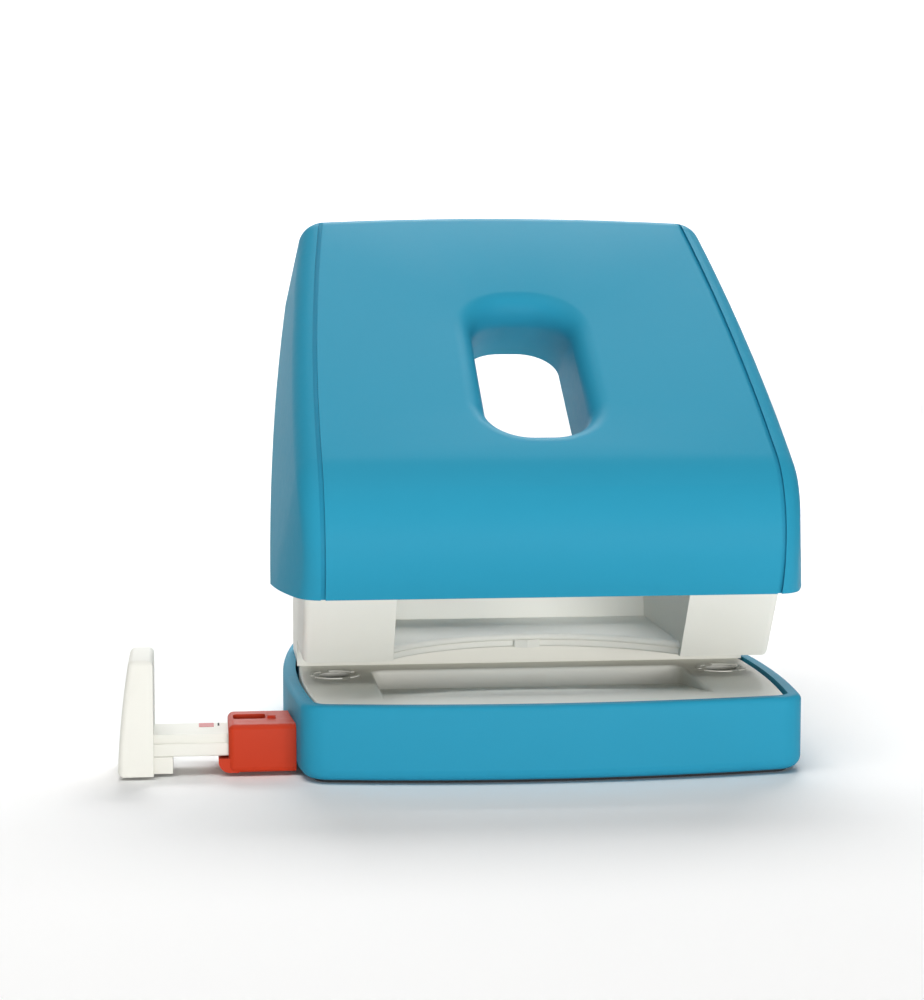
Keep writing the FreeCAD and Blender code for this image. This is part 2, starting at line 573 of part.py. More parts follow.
def guide_holder():
    y0, y1 = BAR_FRONT - HOLDER_WALL, BAR_BACK + HOLDER_WALL
    block = box(HOLDER_LEFT, -BASE_HALF_WIDTH + BASE_WALL, y0, y1, HOLDER_BOTTOM, HOLDER_TOP)
    block = round_edges(block, 1.2, lambda e, b: b.XMin < HOLDER_LEFT + 0.01 or b.XLength > 5)
    lip = side_prism([(y0 + 0.4, HOLDER_BOTTOM), (y0 + 0.4, BAR_BOTTOM - 0.4), (y1 - 0.4, BAR_BOTTOM - 0.4),
                      (y1 - 0.4, HOLDER_BOTTOM)], HOLDER_LEFT - HOLDER_LIP, HOLDER_LEFT + 2)
    lip = round_edges(lip, 2.2, lambda e, b: flat_at(HOLDER_LEFT - HOLDER_LIP, "X")(e, b)
                      and flat_at(HOLDER_BOTTOM)(e, b))
    block = fuse(block, lip)
    block = block.cut(plan_prism(-RUNNING, -1, RIM_TOP + 1))
    block = fuse(block, holder_window(0, 1.4).common(box(HOLDER_LEFT, 0, y0, y1, 0, RIM_TOP)))
    channel = box(HOLDER_LEFT - 9, 0, BAR_FRONT - BAR_GAP, BAR_BACK + BAR_GAP,
                  BAR_BOTTOM - BAR_GAP, BAR_TOP + BAR_GAP)
    block = block.cut(channel)
    y_mid = (BAR_FRONT + BAR_BACK) / 2 + 1.2
    window = box(HOLDER_LEFT + 1.0, HOLDER_LEFT + 7.3, y_mid - 2.5, y_mid + 2.5, BAR_TOP, HOLDER_TOP + 1)
    window = round_edges(window, 0.8, upright)
    block = block.cut(window)
    stud = box(HOLDER_LEFT + 7.6, HOLDER_LEFT + 9.2, y_mid - 2.2, y_mid + 2.2,
               HOLDER_TOP - 0.3, HOLDER_TOP + 0.5)
    return fuse(block, stud)


def guide_channel():
    x0, x1 = -BASE_HALF_WIDTH + BASE_WALL + 1.7, PIN_X + 2.0
    grip = 7.0
    y0, y1 = BAR_FRONT - BAR_GAP, BAR_BACK + BAR_GAP
    z0 = BAR_BOTTOM - BAR_GAP
    pieces = [box(x0, x1, y0 - CHANNEL_WALL, y1 + CHANNEL_WALL, z0 - CHANNEL_WALL, z0)]
    for y in (y0 - CHANNEL_WALL, y1):
        pieces.append(box(x0, x1, y, y + CHANNEL_WALL, z0 - CHANNEL_WALL, BAR_TOP))
        for end in (x0 + LEDGE_WIDTH + 0.4, x1 - grip):
            pieces.append(box(end, end + grip, y, y + CHANNEL_WALL, z0, DIE_BOTTOM))
    return fuse(*pieces)


# ---- handle, drawn level about the pivot --------------------------------------------
def handle_half(n):
    """Half width of the handle's outside at level n, at the pivot."""
    return RIM_HALF - HANDLE_FLARE * (n - HANDLE_SKIRT_LEVEL) / (NOSE_RADIUS - HANDLE_SKIRT_LEVEL)


def bowed_x(half, s):
    return half - HANDLE_SIDE_RADIUS + math.sqrt(HANDLE_SIDE_RADIUS ** 2 - s ** 2)


def drawn_wire(half, s0, s1, n):
    """Plan wire of the outside: bowed sides that draw in towards the nose, and a crowned rear end."""
    turn = HANDLE_WIDEST

    def side_at(s):
        radius = HANDLE_DRAW_RADIUS if s < turn else HANDLE_SIDE_RADIUS
        return half - radius + math.sqrt(radius ** 2 - (s - turn) ** 2)

    ends = [(s, side_at(s)) for s in (s0, (s0 + turn) / 2, turn, (turn + s1) / 2, s1 - HANDLE_REAR_CROWN)]
    (a, b, c, d, e) = [Vector(x, s, n) for s, x in ends]
    right = [Part.Arc(a, b, c).toShape(), Part.Arc(c, d, e).toShape()]
    left = [edge.mirror(ORIGIN, AXIS_X) for edge in right]
    rear = Part.Arc(e, Vector(0, s1, n), Vector(-e.x, e.y, n)).toShape()
    front = Part.makeLine(Vector(-a.x, a.y, n), a)
    return Part.Wire(Part.__sortEdges__(right + [rear] + left + [front]))


def bowed_wire(half, s0, s1, n):
    """Plan wire whose two sides bow out to half at the pivot."""
    a, b = bowed_x(half, s0), bowed_x(half, s1)
    right = Part.Arc(Vector(a, s0, n), Vector(half, 0, n), Vector(b, s1, n)).toShape()
    left = Part.Arc(Vector(-b, s1, n), Vector(-half, 0, n), Vector(-a, s0, n)).toShape()
    rear = Part.makeLine(Vector(b, s1, n), Vector(-b, s1, n))
    front = Part.makeLine(Vector(-a, s0, n), Vector(a, s0, n))
    return Part.Wire([right, rear, left, front])


def handle_side(inset, top, low, rear_inset, half, skirt=()):
    """Side view of the handle with its nose, inset from the outside, half wide.

    skirt holds the points (along the handle, level) of an underside that dips below low.
    """
    radius = NOSE_RADIUS - inset
    s_low = -math.sqrt(radius ** 2 - low ** 2) if low > 0 else -radius
    arc_start = Vector(-half, s_low, max(low, 0))
    turn = (math.pi - math.asin(max(low, 0) / radius)) / 2 + math.pi / 4
    arc_mid = Vector(-half, radius * math.cos(turn), radius * math.sin(turn))
    nose = Part.Arc(arc_start, arc_mid, Vector(-half, 0, radius)).toShape()
    rear_top = HANDLE_LENGTH - rear_inset
    corners = [Vector(-half, 0, radius)]
    if abs(top - radius) > 0.01:
        corners.append(Vector(-half, 0, top))
    corners += [Vector(-half, rear_top, top), Vector(-half, rear_top + HANDLE_REAR_LEAN, low)]
    corners += [Vector(-half, s, n) for s, n in skirt]
    corners.append(Vector(-half, s_low, low))
    if low < 0:
        corners.append(arc_start)
    outline = Part.Wire([nose] + Part.makePolygon(corners).Edges)
    return Part.Face(outline).extrude(Vector(2 * half, 0, 0))


def handle_block(inset_side, inset_top, low, edge, corner, skirt=()):
    """Outer form of the handle, or its hollow when inset."""
    top = NOSE_RADIUS - inset_top
    side = handle_side(inset_top, top, low, -8.0, 2 * RIM_HALF, skirt)
    lowest = min([low] + [n for s, n in skirt])
    wires = []
    for n in (lowest, top):
        rear = HANDLE_LENGTH - inset_side + HANDLE_REAR_LEAN * (NOSE_RADIUS - n) / HANDLE_DEPTH
        wires.append(drawn_wire(handle_half(n) - inset_side, -NOSE_RADIUS - 8, rear, n))
    block = side.common(Part.makeLoft(wires, True, True))
    block = round_edges(block, corner, lambda e, b: b.YMin > HANDLE_LENGTH - HANDLE_REAR_CROWN - inset_side - 1
                        and b.ZLength > 5)
    mid = handle_half(top) / 2
    loop = [e for e in block.Edges if abs(e.CenterOfMass.x) > mid and e.BoundBox.ZMax > low + 1
            and e.BoundBox.ZMin < top + 0.01 and not (e.BoundBox.YMin > HANDLE_LENGTH / 2
                                                     and e.BoundBox.ZMin < top - 0.5)]
    loop += [e for e in block.Edges if e.BoundBox.ZMin > top - 0.01 and e.BoundBox.YMin > HANDLE_LENGTH / 2
             and not any(e.isSame(o) for o in loop)]
    return block.makeFillet(edge, loop)


def window_prism(grow, n0, n1):
    """Finger hole through the handle, grown by grow, between the levels n0 and n1."""
    slope = WINDOW_DRIFT / HANDLE_DEPTH
    s0 = WINDOW_START + slope * (NOSE_RADIUS - n0) - grow
    half = WINDOW_HALF_WIDTH + grow
    flat = box(-half, half, s0, s0 + WINDOW_LENGTH + 2 * grow, n0, n0 + 1)
    flat = round_edges(flat, WINDOW_CORNER + grow, upright)
    top_face = max(flat.Faces, key=lambda f: f.CenterOfMass.z)
    section = top_face.OuterWire
    section.translate(Vector(0, 0, -1))
    return Part.Face(section).extrude(Vector(0, slope * (n0 - n1), n1 - n0))


def seam_grooves():
    """Shallow grooves along both sides of the top, from the nose's rim to the rear end."""
    wide = 2 * RIM_HALF
    low = RIM_LEVEL - 1
    skin = handle_side(-1.0, NOSE_RADIUS + 1.0, low, -3.0, wide)
    skin = skin.cut(handle_side(SEAM_DEPTH, NOSE_RADIUS - SEAM_DEPTH, low - 1, SEAM_DEPTH, wide + 1))
    ahead, behind = -NOSE_RADIUS - 8, HANDLE_LENGTH + HANDLE_REAR_LEAN + 8
    halves = (SEAM_HALF + SEAM_WIDTH / 2, SEAM_HALF - SEAM_WIDTH / 2)
    outer, inner = [Part.Face(bowed_wire(h, ahead, behind, low)).extrude(Vector(0, 0, 2 * NOSE_RADIUS))
                    for h in halves]
    return skin.common(outer.cut(inner))


def lever_screw_places():
    web_half = ARM_OUT - 4.0
    return [(x, s) for x in (-web_half + 3, web_half - 3)
            for s in (HANDLE_LENGTH * 0.34, HANDLE_LENGTH * 0.82)]


def handle_cover():
    skirt = [(HANDLE_SKIRT_S, HANDLE_SKIRT_LEVEL)]
    cover = handle_block(0, 0, RIM_LEVEL, HANDLE_EDGE, HANDLE_CORNER, skirt)
    hollow = handle_block(HANDLE_WALL, HANDLE_TOP_WALL, HANDLE_SKIRT_LEVEL - 2,
                          HANDLE_EDGE - HANDLE_WALL, HANDLE_CORNER - HANDLE_WALL)
    cover_outside = cover.copy()
    cover = cover.cut(hollow)
    collar_low = NOSE_RADIUS - 8.0
    sleeve = window_prism(SLEEVE_WALL, NOSE_RADIUS - 1, RIM_LEVEL)
    collar = window_prism(WINDOW_LEAD_IN + 2.0, NOSE_RADIUS - 1, collar_low)
    cover = fuse(cover, sleeve.common(cover_outside), collar.common(cover_outside))
    cover = cover.cut(window_prism(0, NOSE_RADIUS + 2, RIM_LEVEL - 2))
    top = flat_at(NOSE_RADIUS)
    cover = round_edges(cover, WINDOW_LEAD_IN, lambda e, b: top(e, b) and abs(b.XMin) < 15 and abs(b.XMax) < 15
                        and b.YMax < WINDOW_START + WINDOW_LENGTH + 1)
    cover = cover.cut(seam_grooves())
    for x, s in lever_screw_places():
        cover = cover.cut(rod_z(x, s, 1.2, NOSE_RADIUS - HANDLE_TOP_WALL - 1, NOSE_RADIUS - 1.0))
    return cover


def presser_place():
    turn = math.radians(PRESSER_ANGLE - REST_ANGLE)
    return PRESSER_REACH * math.cos(turn), PRESSER_REACH * math.sin(turn)


def lever_frame():
    """Steel lever: a web under the cover's top, cut out round the finger hole, and two arms."""
    top = NOSE_RADIUS - HANDLE_TOP_WALL
    low = top - LEVER_STEEL
    s0, s1 = 0.0, HANDLE_LENGTH - 6.0
    web = box(-ARM_OUT, ARM_OUT, s0, s1, low, top)
    web = round_edges(web, 4.0, upright)
    web = web.cut(window_prism(WINDOW_LEAD_IN + 3.0, top + 0.5, low - 0.5))
    ps, pn = presser_place()
    arm = [(s0, low + 0.5), (-5.5, 0), (0, -4.0), (ps, pn - 3.6), (ps + 3.6, pn), (ps + 15.0, low + 0.5)]
    pieces = [web]
    for side in (-1, 1):
        x0, x1 = sorted((side * ARM_IN, side * ARM_OUT))
        plate = fuse(side_prism(arm, x0, x1), rod_x(0, 0, 5.5, x0, x1), rod_x(ps, pn, 3.9, x0, x1))
        plate = plate.fuse(box(x0, x1, s0 + 4.0, s1 - 4.0, low - 4.0, low + 0.5))
        pieces.append(plate)
    lever = fuse(*pieces)
    lever = lever.cut(rod_x(0, 0, AXLE_RADIUS + RUNNING, -ARM_OUT - 1, ARM_OUT + 1))
    lever = lever.cut(rod_x(ps, pn, PRESSER_RADIUS, -ARM_OUT - 1, ARM_OUT + 1))
    for x, s in lever_screw_places():
        lever = lever.cut(rod_z(x, s, 1.4, low - 1, top + 1))
    return lever


def presser_rollers():
    ps, pn = presser_place()
    rollers = []
    for side in (-1, 1):
        x0, x1 = sorted((side * ARM_IN, side * (PLATE_OUT_0 - 0.5)))
        roller = rod_x(ps, pn, PRESSER_RADIUS, x0, x1)
        c0, c1 = sorted((side * (ARM_IN - 0.6), side * ARM_IN))
        rollers.append(roller.fuse(rod_x(ps, pn, PRESSER_RADIUS + 0.9, c0, c1)).removeSplitter())
    return Part.makeCompound(rollers)


def lever_screws():
    web_low = NOSE_RADIUS - HANDLE_TOP_WALL - LEVER_STEEL
    screws = []
    for x, s in lever_screw_places():
        head = rod_z(x, s, 2.4, web_low - 1.4, web_low)
        head = head.cut(box(x - 2, x + 2, s - 0.35, s + 0.35, 0, web_low - 0.7))
        head = head.cut(box(x - 0.35, x + 0.35, s - 2, s + 2, 0, web_low - 0.7))
        screws.append(head.fuse(rod_z(x, s, 1.2, web_low, NOSE_RADIUS - 1.0)).removeSplitter())
    return Part.makeCompound(screws)


def on_pivot(shape):
    """Turns a piece of the handle up to its rest angle and sets it on the pivot."""
    placed = shape.copy()
    placed.rotate(ORIGIN, AXIS_X, REST_ANGLE)
    placed.translate(Vector(0, PIVOT_Y, PIVOT_Z))
    return placed


def main():
    os.makedirs("parts", exist_ok=True)
    single = {
        "base_shell": base_shell, "deck": deck, "die_plate": die_plate, "bridge_shelf": bridge_shelf,
        "bracket_screws": bracket_screws, "pivot_axle": pivot_axle, "axle_clips": axle_clips,
        "chip_tray": chip_tray, "tray_hinge_pins": tray_hinge_pins, "guide_bar": guide_bar,
        "end_stop": end_stop, "guide_holder": guide_holder, "guide_channel": guide_channel,
    }
    for name, make in single.items():
        save(name, make())
    save("format_label", label_block(0.4))
    paired = {"tower": right_tower, "bracket": right_bracket, "pin": right_pin,
              "pin_clip": right_pin_clip, "spring": right_spring}
    for name, make in paired.items():
        shape = make()
        save("right_" + name, shape)
        save("left_" + name, mirrored(shape))
    turned = {"handle_cover": handle_cover, "lever_frame": lever_frame,
              "presser_rollers": presser_rollers, "lever_screws": lever_screws}
    for name, make in turned.items():
        save(name, on_pivot(make()))


main()
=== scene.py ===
"""Looks of a two-hole desk punch: moulded plastics, steel parts, springs and guide marks."""
import math
import json
import bmesh
import bpy
from bpy.props import FloatProperty, FloatVectorProperty, IntProperty, PointerProperty
from mathutils import Matrix, Vector


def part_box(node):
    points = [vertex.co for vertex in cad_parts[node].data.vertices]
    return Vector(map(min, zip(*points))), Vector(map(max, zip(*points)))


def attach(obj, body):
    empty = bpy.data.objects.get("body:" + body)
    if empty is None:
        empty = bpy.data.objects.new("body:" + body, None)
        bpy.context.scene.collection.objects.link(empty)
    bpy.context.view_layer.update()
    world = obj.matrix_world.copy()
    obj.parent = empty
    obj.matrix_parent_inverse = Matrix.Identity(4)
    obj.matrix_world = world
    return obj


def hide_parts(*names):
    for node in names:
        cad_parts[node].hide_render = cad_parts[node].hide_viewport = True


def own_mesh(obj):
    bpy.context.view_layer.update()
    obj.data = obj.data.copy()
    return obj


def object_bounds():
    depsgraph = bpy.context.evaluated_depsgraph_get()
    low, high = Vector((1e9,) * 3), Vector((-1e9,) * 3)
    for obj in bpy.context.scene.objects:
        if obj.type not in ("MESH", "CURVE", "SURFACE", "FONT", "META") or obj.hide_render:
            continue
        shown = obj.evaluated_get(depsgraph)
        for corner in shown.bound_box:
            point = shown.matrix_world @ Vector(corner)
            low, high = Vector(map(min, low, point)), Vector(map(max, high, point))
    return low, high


bl_info = {
    "name": "Desk punch looks",
    "version": (1, 0, 0),
    "blender": (4, 5, 0),
    "location": "3D View > Sidebar > Punch",
    "description": "Finishes and small detail pieces of a two-hole desk punch",
    "category": "Object",
}

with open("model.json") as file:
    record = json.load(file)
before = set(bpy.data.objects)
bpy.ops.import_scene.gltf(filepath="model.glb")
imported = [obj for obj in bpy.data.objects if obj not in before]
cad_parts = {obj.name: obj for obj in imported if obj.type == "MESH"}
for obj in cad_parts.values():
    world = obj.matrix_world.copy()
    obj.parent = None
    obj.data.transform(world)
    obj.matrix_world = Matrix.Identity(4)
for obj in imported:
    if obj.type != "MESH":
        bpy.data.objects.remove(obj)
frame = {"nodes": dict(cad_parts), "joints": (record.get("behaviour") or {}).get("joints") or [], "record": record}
CAD_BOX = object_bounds()
MM = 0.001


# ---- settings -----------------------------------------------------------------------
def colour(name, description, default):
    return FloatVectorProperty(name=name, description=description, default=default,
                               subtype="COLOR", size=3, min=0, max=1)


def length(name, description, default):
    return FloatProperty(name=name, description=description, default=default,
                         subtype="DISTANCE", unit="LENGTH", precision=5)


class PunchColours(bpy.types.PropertyGroup):
    shell: colour("Shell", "Colour of the handle cover and base shell", (0.026, 0.295, 0.455))
    housing: colour("Housing", "Colour of the deck, towers, shelf and guide", (0.800, 0.795, 0.735))
    holder: colour("Guide holder", "Colour of the guide holder", (0.520, 0.045, 0.016))
    label: colour("Format label", "Colour of the inlaid format label", (0.450, 0.035, 0.035))
    tray: colour("Chip tray", "Colour of the soft chip tray", (0.030, 0.031, 0.034))
    steel: colour("Sheet steel", "Colour of the plated sheet steel", (0.560, 0.570, 0.580))
    floor: colour("Floor", "Colour of the floor and the backdrop", (0.970, 0.970, 0.970))


class PunchSizes(bpy.types.PropertyGroup):
    grain: length("Grain", "Size of the spark-eroded grain on the plastic", 0.00030)
    grain_depth: length("Grain depth", "Height of that grain", 0.000012)
    wire: length("Spring wire", "Diameter of the pin springs' wire", 0.00090)
    turns: FloatProperty(name="Spring turns", description="Open turns of a pin spring", default=5.5, min=2)
    tick: length("Tick width", "Width of a mark on the guide bar", 0.00035)
    ticks: IntProperty(name="Ticks", description="Number of marks on the guide bar", default=1, min=1)


class PunchStage(bpy.types.PropertyGroup):
    eye: FloatVectorProperty(name="Camera", description="Place of the camera", subtype="TRANSLATION",
                             unit="LENGTH", default=(-0.06695, -0.46810, 0.09267))
    yaw: FloatProperty(name="Yaw", description="Turn of the camera to the right of +Y",
                       subtype="ANGLE", default=math.radians(6.461))
    pitch: FloatProperty(name="Pitch", description="Downward tilt of the camera",
                         subtype="ANGLE", default=math.radians(5.157))
    lens: FloatProperty(name="Lens", description="Focal length on a 36 mm tall sensor, in millimetres",
                        default=83.8, min=1)
    key: FloatProperty(name="Key light", description="Power of the key light", subtype="POWER",
                       unit="POWER", default=7.0, min=0)
    fill: FloatProperty(name="Front light", description="Power of the low front light", subtype="POWER",
                        unit="POWER", default=10.0, min=0)
    back: FloatProperty(name="Back light", description="Power of the light behind the punch",
                        subtype="POWER", unit="POWER", default=9.5, min=0)
    wall: FloatProperty(name="Wall light", description="Power of the light on the backdrop",
                        subtype="POWER", unit="POWER", default=30.0, min=0)
    sky: FloatProperty(name="Room light", description="Strength of the even light of the room",
                       default=0.06, min=0)


# ---- shader expressions -------------------------------------------------------------
class Value:
    """A node socket that Python's operators turn into Math nodes."""

    def __init__(self, graph, socket):
        self.graph = graph
        self.socket = socket

    def math(self, operation, *others):
        return self.graph.node("ShaderNodeMath", {"operation": operation}, {
            i: o for i, o in enumerate((self,) + others)})

    def __add__(self, other):
        return self.math("ADD", other)

    def __sub__(self, other):
        return self.math("SUBTRACT", other)

    def __rsub__(self, other):
        return self.graph.node("ShaderNodeMath", {"operation": "SUBTRACT"}, {0: other, 1: self})

    def __mul__(self, other):
        return self.math("MULTIPLY", other)

    def __truediv__(self, other):
        return self.math("DIVIDE", other)

    def __pow__(self, other):
        return self.math("POWER", other)

    __radd__ = __add__
    __rmul__ = __mul__

    def clamp(self):
        return self.graph.node("ShaderNodeClamp", {}, {"Value": self})


class Graph:
    """A material with one Principled shader."""

    def __init__(self, name):
        self.material = bpy.data.materials.new(name)
        self.material.use_nodes = True
        self.tree = self.material.node_tree
        self.shader = next(n for n in self.tree.nodes if n.type == "BSDF_PRINCIPLED")
        self.place = self.node("ShaderNodeTexCoord", {}, {}, "Object")

    def node(self, kind, settings, inputs, output=0):
        node = self.tree.nodes.new(kind)
        stops = settings.pop("stops", None)
        for key, value in settings.items():
            setattr(node, key, value)
        if stops:
            ramp = node.color_ramp.elements
            while len(ramp) < len(stops):
                ramp.new(0.5)
            for element, (position, shade) in zip(ramp, stops):
                element.position = position
                element.color = shade
        for key, value in inputs.items():
            self.feed(node.inputs[key], value)
        return Value(self, node.outputs[output])

    def feed(self, socket, value):
        if isinstance(value, Value):
            self.tree.links.new(value.socket, socket)
        else:
            socket.default_value = value

    def set(self, **inputs):
        for key, value in inputs.items():
            self.feed(self.shader.inputs[key.replace("_", " ")], value)
        return self.material

    def noise(self, size, detail=2.0, roughness=0.5, stretch=(1, 1, 1)):
        where = self.place
        if tuple(stretch) != (1, 1, 1):
            where = self.node("ShaderNodeMapping", {}, {"Vector": where, "Scale": stretch})
        return self.node("ShaderNodeTexNoise", {}, {
            "Vector": where, "Scale": 1 / size, "Detail": detail, "Roughness": roughness}, "Fac")

    def spread(self, value, low, high):
        """value from 0 to 1 laid out between low and high."""
        return value * (high - low) + low

    def mix(self, amount, a, b):
        return self.node("ShaderNodeMix", {"data_type": "RGBA"}, {0: amount, 6: a, 7: b}, 2)

    def bump(self, height, depth, strength=1.0):
        return self.node("ShaderNodeBump", {}, {"Height": height, "Strength": strength, "Distance": depth},
                         "Normal")


def shade(rgb, factor):
    """The colour made lighter or darker, with full alpha."""
    return tuple(min(1.0, c * factor) for c in rgb[:3]) + (1.0,)


def moulded_plastic(name, rgb, rough, grain, depth, shine):
    """Satin moulding: fine eroded grain, faint flow clouds and slightly uneven gloss."""
    g = Graph(name)
    clouds = g.noise(0.030, 3.0)
    fine = g.noise(grain, 1.0, 0.6)
    skin = g.noise(grain * 6, 2.0)
    body = g.mix(g.spread(clouds, 0.2, 0.8).clamp(), shade(rgb, 0.965), shade(rgb, 1.035))
    body = g.mix(fine * 0.10, body, shade(rgb, 0.86))
    gloss = g.spread(skin, rough - 0.05, rough + 0.05)
    relief = g.bump(fine * 0.8 + skin * 0.2, depth)
    return g.set(Base_Color=body, Roughness=gloss, Normal=relief, Specular_IOR_Level=shine)


def sheet_steel(name, rgb):
    """Zinc-plated sheet: rolled streaks and a cloudy plating."""
    g = Graph(name)
    streaks = g.noise(0.0004, 3.0, 0.6, (1, 1, 14))
    clouds = g.noise(0.006, 3.0)
    body = g.mix(clouds, shade(rgb, 0.86), shade(rgb, 1.08))
    gloss = g.spread(streaks, 0.24, 0.44)
    relief = g.bump(streaks, 0.000006)
    return g.set(Base_Color=body, Roughness=gloss, Metallic=1.0, Normal=relief)


def ground_steel(name, rgb):
    """Hardened and ground rods: fine rings across the length."""
    g = Graph(name)
    rings = g.noise(0.0003, 2.0, 0.5, (1, 1, 9))
    body = g.mix(rings, shade(rgb, 0.92), shade(rgb, 1.10))
    return g.set(Base_Color=body, Roughness=g.spread(rings, 0.14, 0.28), Metallic=1.0,
                 Normal=g.bump(rings, 0.000003))


def dark_steel(name, rgb):
    """Oiled black spring steel."""
    g = Graph(name)
    film = g.noise(0.0015, 3.0)
    body = g.mix(film, shade(rgb, 0.8), shade(rgb, 1.3))
    return g.set(Base_Color=body, Roughness=g.spread(film, 0.28, 0.46), Metallic=1.0,
                 Normal=g.bump(film, 0.000008))


def soft_rubber(name, rgb):
    """Soft tray plastic: matt, with a leathery grain and a little dust."""
    g = Graph(name)
    cells = g.node("ShaderNodeTexVoronoi", {"feature": "SMOOTH_F1"}, {
        "Vector": g.place, "Scale": 1 / 0.0009, "Smoothness": 0.6}, "Distance")
    dust = g.noise(0.012, 4.0)
    body = g.mix((dust ** 3.0) * 0.6, shade(rgb, 1.0), shade(rgb, 2.6))
    return g.set(Base_Color=body, Roughness=g.spread(dust, 0.72, 0.88),
                 Normal=g.bump(cells, 0.00005, 0.7), Specular_IOR_Level=0.3)


def printed_label(name, rgb):
    """Red inlay with three faint pale bars and no lettering."""
    g = Graph(name)
    low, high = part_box("format_label")
    split = g.node("ShaderNodeSeparateXYZ", {}, {"Vector": g.place}, "Y")
    across = (split - low.y) / (high.y - low.y)
    waves = (across * (2 * math.pi * 3)).math("SINE")
    bars = waves.math("GREATER_THAN", 0.55)
    ink = g.noise(0.0004, 2.0)
    body = g.mix(bars * 0.15, g.mix(ink, shade(rgb, 0.9), shade(rgb, 1.1)), (0.80, 0.62, 0.58, 1.0))
    return g.set(Base_Color=body, Roughness=g.spread(ink, 0.38, 0.50), Normal=g.bump(ink, 0.000004))


def floor_finish(name, rgb):
    """Matt pale paper with a very faint unevenness."""
    g = Graph(name)
    tone = g.noise(0.5, 2.0)
    body = g.mix(tone, shade(rgb, 0.995), shade(rgb, 1.0))
    return g.set(Base_Color=body, Roughness=0.85, Specular_IOR_Level=0.1)


# ---- tables and fixed sizes ----------------------------------------------------------
NODE_BODY = {n: b for b, nodes in frame["record"]["behaviour"]["bodies"].items() for n in nodes}
NODE_SLOT = {s["node"]: s["material_slot"] for s in frame["record"]["subparts"]}
SLOT_MATERIAL = {
    "shell_blue": "Blue moulded plastic", "housing_white": "Pale moulded plastic",
    "guide_red": "Red moulded plastic", "label_red": "Format inlay", "tray_grey": "Soft tray plastic",
    "steel_sheet": "Plated sheet steel", "steel_hard": "Ground tool steel", "steel_dark": "Spring steel",
}
STEPS_PER_TURN = 26
WIRE_SIDES = 10
PIECE_SHARP = math.radians(35)
MOULDING_SHARP = math.radians(24)
MERGE = 0.002 * MM              # closer vertices are one vertex
SLIVER = 0.0005 * MM            # shorter edges are dissolved
MARK_GAP = 0.9 * MM             # from the format label to the first mark
MARK_PROUD = 0.04 * MM          # how far a mark stands out of the guide bar
MARK_ROUND = 0.01 * MM
BACKDROP_SIDE = 4.0             # the backdrop, in metres
BACKDROP_NEAR = -3.0
BACKDROP_FAR = 1.6
BACKDROP_BEND = 0.9
BACKDROP_TOP = 3.0
BACKDROP_STEPS = 24
SENSOR_HEIGHT = 36.0            # in millimetres, as the lens is
CAMERA_REACH = (0.01, 20.0)
# name, place, aim, size, setting that holds its power, tint, spread in degrees
LIGHTS = (
    ("key", (-0.30, -0.30, 1.15), (0, 0, 0.05), (0.7, 0.7), "key", (1.0, 0.99, 0.97), 180.0),
    ("front", (0.20, -1.20, 0.10), (0, 0, 0.04), (0.9, 0.2), "fill", (1.0, 0.995, 0.99), 180.0),
    ("back", (0.15, 0.80, 0.82), (0, 0.02, 0.03), (0.7, 0.4), "back", (1.0, 1.0, 1.0), 180.0),
    ("wall", (0, 0.6, 2.4), (0, 2.4, 0.5), (3.0, 0.6), "wall", (1.0, 1.0, 1.0), 80.0),
)
# mouldings whose CAD mesh is merged and smoothed
MOULDINGS = ("handle_cover", "base_shell", "deck", "bridge_shelf", "left_tower", "right_tower",
             "end_stop", "guide_bar", "guide_holder", "chip_tray", "guide_channel")


# ---- mesh helpers -------------------------------------------------------------------
def finish_piece(bm, name, body, material, replaces=(), sharp=PIECE_SHARP):
    """Makes the object of a bmesh, smooth except over its sharp edges, and sets it on its body."""
    for face in bm.faces:
        face.smooth = True
    for edge in bm.edges:
        turn = edge.calc_face_angle(None)
        edge.smooth = turn is None or turn < sharp
    mesh = bpy.data.meshes.new(name)
    bm.to_mesh(mesh)
    bm.free()
    piece = bpy.data.objects.new(name, mesh)
    bpy.context.scene.collection.objects.link(piece)
    mesh.materials.append(material)
    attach(piece, body)
    if replaces:
        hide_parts(*replaces)
    return piece


def material(name):
    return bpy.data.materials[name]


# ---- operators ----------------------------------------------------------------------
class PUNCH_OT_finishes(bpy.types.Operator):
    """Make the finishes and give them to the frame's pieces"""
    bl_idname = "punch.finishes"
    bl_label = "Finishes"

    def execute(self, context):
        c = context.scene.punch_colours
        s = context.scene.punch_sizes
        moulded_plastic("Blue moulded plastic", c.shell, 0.48, s.grain, s.grain_depth, 0.05)
        moulded_plastic("Pale moulded plastic", c.housing, 0.50, s.grain, s.grain_depth, 0.18)
        moulded_plastic("Red moulded plastic", c.holder, 0.42, s.grain, s.grain_depth * 0.7, 0.08)
        soft_rubber("Soft tray plastic", c.tray)
        printed_label("Format inlay", c.label)
        sheet_steel("Plated sheet steel", c.steel)
        ground_steel("Ground tool steel", c.steel)
        dark_steel("Spring steel", tuple(0.25 * v for v in c.steel))
        for name, node in frame["nodes"].items():
            node.data.materials.clear()
            node.data.materials.append(material(SLOT_MATERIAL[NODE_SLOT[name]]))
        return {"FINISHED"}


class PUNCH_OT_mouldings(bpy.types.Operator):
    """Merge and smooth the mouldings"""
    bl_idname = "punch.mouldings"
    bl_label = "Mouldings"

    def execute(self, context):
        for name in MOULDINGS:
            bm = bmesh.new()
            bm.from_mesh(frame["nodes"][name].data)
            bmesh.ops.remove_doubles(bm, verts=bm.verts, dist=MERGE)
            bmesh.ops.dissolve_degenerate(bm, edges=bm.edges, dist=SLIVER)
            slot = NODE_SLOT[name]
            finish_piece(bm, name + "_moulding", NODE_BODY[name], material(SLOT_MATERIAL[slot]),
                         (name,), MOULDING_SHARP)
        return {"FINISHED"}


